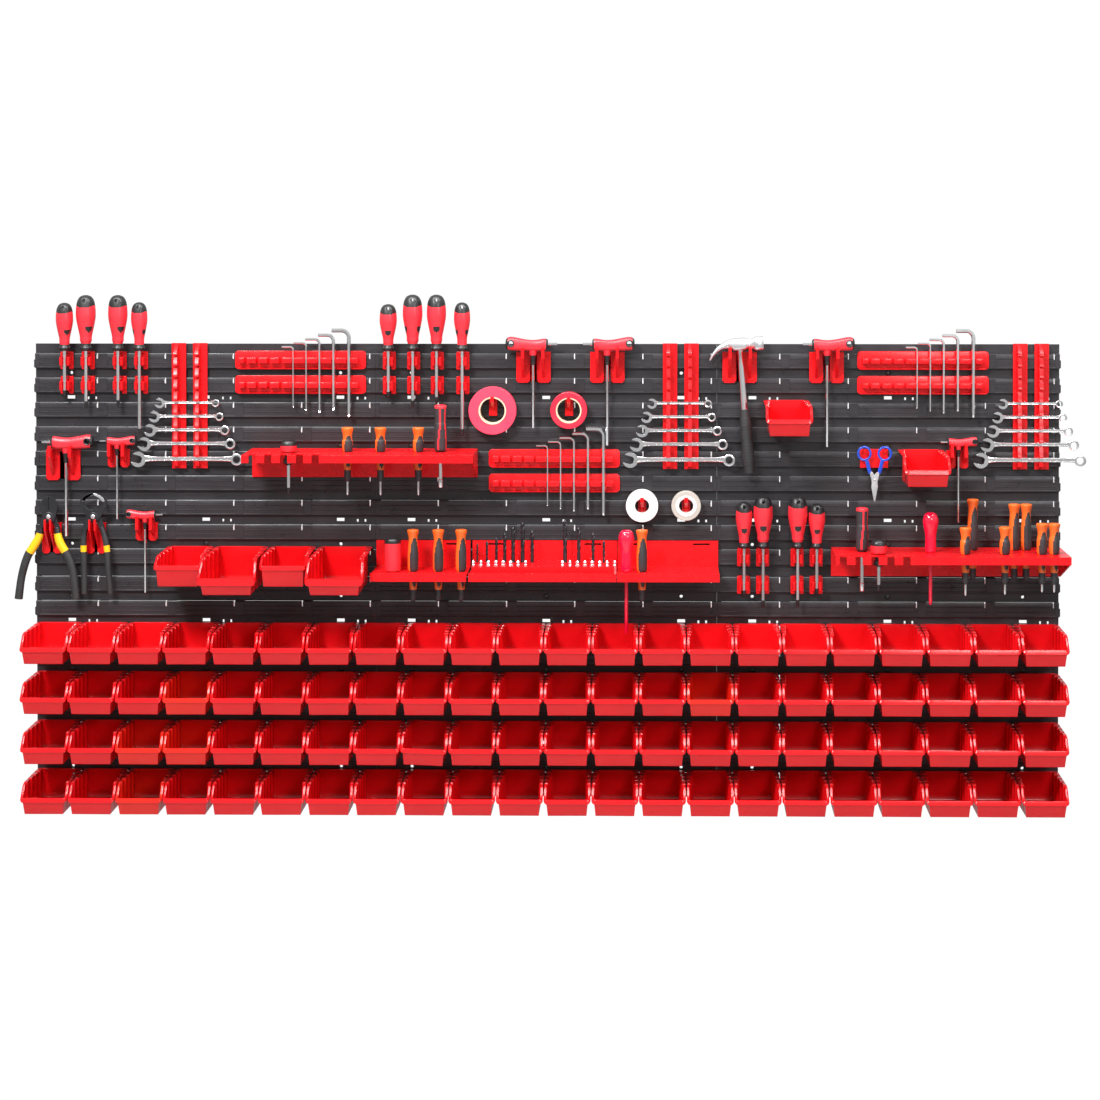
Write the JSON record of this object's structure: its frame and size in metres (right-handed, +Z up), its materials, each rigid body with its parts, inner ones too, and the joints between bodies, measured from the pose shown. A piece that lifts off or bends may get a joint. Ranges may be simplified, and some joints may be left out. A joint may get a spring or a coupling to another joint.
{
  "type": "wall-mounted tool board with storage bins",
  "caption": "Louvred plastic wall board with hook-on holders, shelves and open-fronted bins that carries hand tools.",
  "frame": {"origin": "centre of the rectangle of the four outermost fixing holes, in the plane of the wall", "axes": "+X to the right along the wall, -Y out of the wall towards the user, +Z up"},
  "size_m": [1.801, 0.17, 0.859],
  "materials": {
    "charcoal_plastic": "satin moulded charcoal plastic",
    "black_screws": "black oxide screws and washers",
    "red_plastic": "glossy moulded red plastic",
    "bin_plastic": "semi-gloss moulded red plastic",
    "chrome_steel": "satin chrome plate",
    "black_steel": "blackened tool steel",
    "coral_grip": "semi-gloss coral-red grips",
    "orange_grip": "semi-gloss orange grips",
    "black_rubber": "matt black dipped rubber",
    "blue_plastic": "glossy blue finger loops",
    "red_tape": "wound vinyl tape",
    "white_tape": "wound white tape",
    "clear_tape": "wound clear tape"
  },
  "bodies": {
    "board": {"panel_top_left": "charcoal_plastic", "panel_top_middle": "charcoal_plastic", "panel_top_right": "charcoal_plastic", "panel_bottom_left": "charcoal_plastic", "panel_bottom_middle": "charcoal_plastic", "panel_bottom_right": "charcoal_plastic", "wall_screws": "black_screws", "wrench_rails": "red_plastic", "hex_key_rails": "red_plastic", "screwdriver_clips": "red_plastic", "large_hooks": "red_plastic", "small_hooks": "red_plastic", "plier_hooks": "red_plastic", "tape_hooks": "red_plastic", "shelf_left": "red_plastic", "shelf_right": "red_plastic", "long_shelf": "red_plastic"},
    "bins_row_1": {"bins_row_1": "bin_plastic"},
    "bins_row_2": {"bins_row_2": "bin_plastic"},
    "bins_row_3": {"bins_row_3": "bin_plastic"},
    "bins_row_4": {"bins_row_4": "bin_plastic"},
    "large_bin_1": {"large_bin_1": "bin_plastic"},
    "large_bin_2": {"large_bin_2": "bin_plastic"},
    "large_bin_3": {"large_bin_3": "bin_plastic"},
    "large_bin_4": {"large_bin_4": "bin_plastic"},
    "single_bin_upper": {"single_bin_upper": "bin_plastic"},
    "single_bin_lower": {"single_bin_lower": "bin_plastic"},
    "tape_roll_1": {"tape_roll_1": "red_tape"},
    "tape_roll_2": {"tape_roll_2": "red_tape"},
    "tape_roll_3": {"tape_roll_3": "white_tape"},
    "tape_roll_4": {"tape_roll_4": "clear_tape"},
    "screwdrivers_left": {"screwdrivers_left": "coral_grip"},
    "wrenches_left": {"wrenches_left": "chrome_steel"},
    "hex_keys_left": {"hex_keys_left": "chrome_steel"},
    "screwdrivers_middle": {"screwdrivers_middle": "coral_grip"},
    "wrenches_middle": {"wrenches_middle": "chrome_steel"},
    "hex_keys_middle": {"hex_keys_middle": "chrome_steel"},
    "screwdrivers_right": {"screwdrivers_right": "coral_grip"},
    "wrenches_right": {"wrenches_right": "chrome_steel"},
    "hex_keys_right": {"hex_keys_right": "chrome_steel"},
    "t_key_far_left": {"t_key_far_left": "coral_grip"},
    "t_key_left": {"t_key_left": "coral_grip"},
    "t_key_low": {"t_key_low": "coral_grip"},
    "t_key_middle": {"t_key_middle": "coral_grip"},
    "t_key_centre": {"t_key_centre": "coral_grip"},
    "t_key_right": {"t_key_right": "coral_grip"},
    "t_key_far_right": {"t_key_far_right": "coral_grip"},
    "hammer": {"hammer_head": "chrome_steel", "hammer_handle": "black_rubber"},
    "shelf_tools_left": {"shelf_tools_left": "orange_grip"},
    "shelf_tools_right": {"shelf_tools_right": "orange_grip"},
    "shelf_tools_long": {"shelf_tools_long": "orange_grip"},
    "driver_bits": {"driver_bits": "chrome_steel"},
    "twist_drills": {"twist_drills": "black_steel"},
    "side_cutters_back_half": {"side_cutters_back_half": "black_rubber"},
    "side_cutters_front_half": {"side_cutters_front_half": "black_rubber"},
    "pincers_front_half": {"pincers_front_half": "black_rubber"},
    "pincers_back_half": {"pincers_back_half": "black_rubber"},
    "scissors_back_half": {"scissors_back_half": "blue_plastic"},
    "scissors_front_half": {"scissors_front_half": "blue_plastic"}
  },
  "joints": [
    {"name": "bins_row_1_lift", "type": "slide", "parent": "board", "child": "bins_row_1", "axis": [0, 0, 1], "range_m": [0, 0.01]},
    {"name": "bins_row_2_lift", "type": "slide", "parent": "board", "child": "bins_row_2", "axis": [0, 0, 1], "range_m": [0, 0.01]},
    {"name": "bins_row_3_lift", "type": "slide", "parent": "board", "child": "bins_row_3", "axis": [0, 0, 1], "range_m": [0, 0.01]},
    {"name": "bins_row_4_lift", "type": "slide", "parent": "board", "child": "bins_row_4", "axis": [0, 0, 1], "range_m": [0, 0.01]},
    {"name": "large_bin_1_lift", "type": "slide", "parent": "board", "child": "large_bin_1", "axis": [0, 0, 1], "range_m": [0, 0.01]},
    {"name": "large_bin_2_lift", "type": "slide", "parent": "board", "child": "large_bin_2", "axis": [0, 0, 1], "range_m": [0, 0.01]},
    {"name": "large_bin_3_lift", "type": "slide", "parent": "board", "child": "large_bin_3", "axis": [0, 0, 1], "range_m": [0, 0.01]},
    {"name": "large_bin_4_lift", "type": "slide", "parent": "board", "child": "large_bin_4", "axis": [0, 0, 1], "range_m": [0, 0.01]},
    {"name": "single_bin_upper_lift", "type": "slide", "parent": "board", "child": "single_bin_upper", "axis": [0, 0, 1], "range_m": [0, 0.01]},
    {"name": "single_bin_lower_lift", "type": "slide", "parent": "board", "child": "single_bin_lower", "axis": [0, 0, 1], "range_m": [0, 0.01]},
    {"name": "tape_roll_1_turn", "type": "hinge", "parent": "board", "child": "tape_roll_1", "pos_m": [-0.089, -0.027, 0.27255], "axis": [0, 1, 0], "continuous": true},
    {"name": "tape_roll_2_turn", "type": "hinge", "parent": "board", "child": "tape_roll_2", "pos_m": [0.039, -0.027, 0.27305], "axis": [0, 1, 0], "continuous": true},
    {"name": "tape_roll_3_turn", "type": "hinge", "parent": "board", "child": "tape_roll_3", "pos_m": [0.162, -0.027, 0.11265], "axis": [0, 1, 0], "continuous": true},
    {"name": "tape_roll_4_turn", "type": "hinge", "parent": "board", "child": "tape_roll_4", "pos_m": [0.236, -0.027, 0.11265], "axis": [0, 1, 0], "continuous": true},
    {"name": "screwdrivers_left_lift", "type": "slide", "parent": "board", "child": "screwdrivers_left", "axis": [0, 0, 1], "range_m": [0, 0.02]},
    {"name": "wrenches_left_pull", "type": "slide", "parent": "board", "child": "wrenches_left", "axis": [0, -1, 0], "range_m": [0, 0.015]},
    {"name": "hex_keys_left_pull", "type": "slide", "parent": "board", "child": "hex_keys_left", "axis": [0, -1, 0], "range_m": [0, 0.012]},
    {"name": "screwdrivers_middle_lift", "type": "slide", "parent": "board", "child": "screwdrivers_middle", "axis": [0, 0, 1], "range_m": [0, 0.02]},
    {"name": "wrenches_middle_pull", "type": "slide", "parent": "board", "child": "wrenches_middle", "axis": [0, -1, 0], "range_m": [0, 0.015]},
    {"name": "hex_keys_middle_pull", "type": "slide", "parent": "board", "child": "hex_keys_middle", "axis": [0, -1, 0], "range_m": [0, 0.012]},
    {"name": "screwdrivers_right_lift", "type": "slide", "parent": "board", "child": "screwdrivers_right", "axis": [0, 0, 1], "range_m": [0, 0.02]},
    {"name": "wrenches_right_pull", "type": "slide", "parent": "board", "child": "wrenches_right", "axis": [0, -1, 0], "range_m": [0, 0.015]},
    {"name": "hex_keys_right_pull", "type": "slide", "parent": "board", "child": "hex_keys_right", "axis": [0, -1, 0], "range_m": [0, 0.012]},
    {"name": "t_key_far_left_lift", "type": "slide", "parent": "board", "child": "t_key_far_left", "axis": [0, 0, 1], "range_m": [0, 0.01]},
    {"name": "t_key_left_lift", "type": "slide", "parent": "board", "child": "t_key_left", "axis": [0, 0, 1], "range_m": [0, 0.01]},
    {"name": "t_key_low_lift", "type": "slide", "parent": "board", "child": "t_key_low", "axis": [0, 0, 1], "range_m": [0, 0.01]},
    {"name": "t_key_middle_lift", "type": "slide", "parent": "board", "child": "t_key_middle", "axis": [0, 0, 1], "range_m": [0, 0.01]},
    {"name": "t_key_centre_lift", "type": "slide", "parent": "board", "child": "t_key_centre", "axis": [0, 0, 1], "range_m": [0, 0.01]},
    {"name": "t_key_right_lift", "type": "slide", "parent": "board", "child": "t_key_right", "axis": [0, 0, 1], "range_m": [0, 0.01]},
    {"name": "t_key_far_right_lift", "type": "slide", "parent": "board", "child": "t_key_far_right", "axis": [0, 0, 1], "range_m": [0, 0.01]},
    {"name": "hammer_lift", "type": "slide", "parent": "board", "child": "hammer", "axis": [0, 0, 1], "range_m": [0, 0.012]},
    {"name": "shelf_tools_left_lift", "type": "slide", "parent": "board", "child": "shelf_tools_left", "axis": [0, 0, 1], "range_m": [0, 0.02]},
    {"name": "shelf_tools_right_lift", "type": "slide", "parent": "board", "child": "shelf_tools_right", "axis": [0, 0, 1], "range_m": [0, 0.02]},
    {"name": "shelf_tools_long_lift", "type": "slide", "parent": "board", "child": "shelf_tools_long", "axis": [0, 0, 1], "range_m": [0, 0.02]},
    {"name": "driver_bits_lift", "type": "slide", "parent": "board", "child": "driver_bits", "axis": [0, 0, 1], "range_m": [0, 0.012]},
    {"name": "twist_drills_lift", "type": "slide", "parent": "board", "child": "twist_drills", "axis": [0, 0, 1], "range_m": [0, 0.012]},
    {"name": "side_cutters_lift", "type": "slide", "parent": "board", "child": "side_cutters_back_half", "axis": [0, 0, 1], "range_m": [0, 0.006]},
    {"name": "side_cutters_pivot", "type": "hinge", "parent": "side_cutters_back_half", "child": "side_cutters_front_half", "pos_m": [-0.836, -0.033, 0.09335], "axis": [0, 1, 0], "range_deg": [-2, 12]},
    {"name": "pincers_lift", "type": "slide", "parent": "board", "child": "pincers_front_half", "axis": [0, 0, 1], "range_m": [0, 0.008]},
    {"name": "pincers_pivot", "type": "hinge", "parent": "pincers_front_half", "child": "pincers_back_half", "pos_m": [-0.761, -0.033, 0.09385], "axis": [0, 1, 0], "range_deg": [-10, 2]},
    {"name": "scissors_pull", "type": "slide", "parent": "board", "child": "scissors_back_half", "axis": [0, -1, 0], "range_m": [0, 0.018]},
    {"name": "scissors_pivot", "type": "hinge", "parent": "scissors_back_half", "child": "scissors_front_half", "pos_m": [0.552, -0.0267, 0.15655], "axis": [0, 1, 0], "range_deg": [-3, 3]}
  ]
}
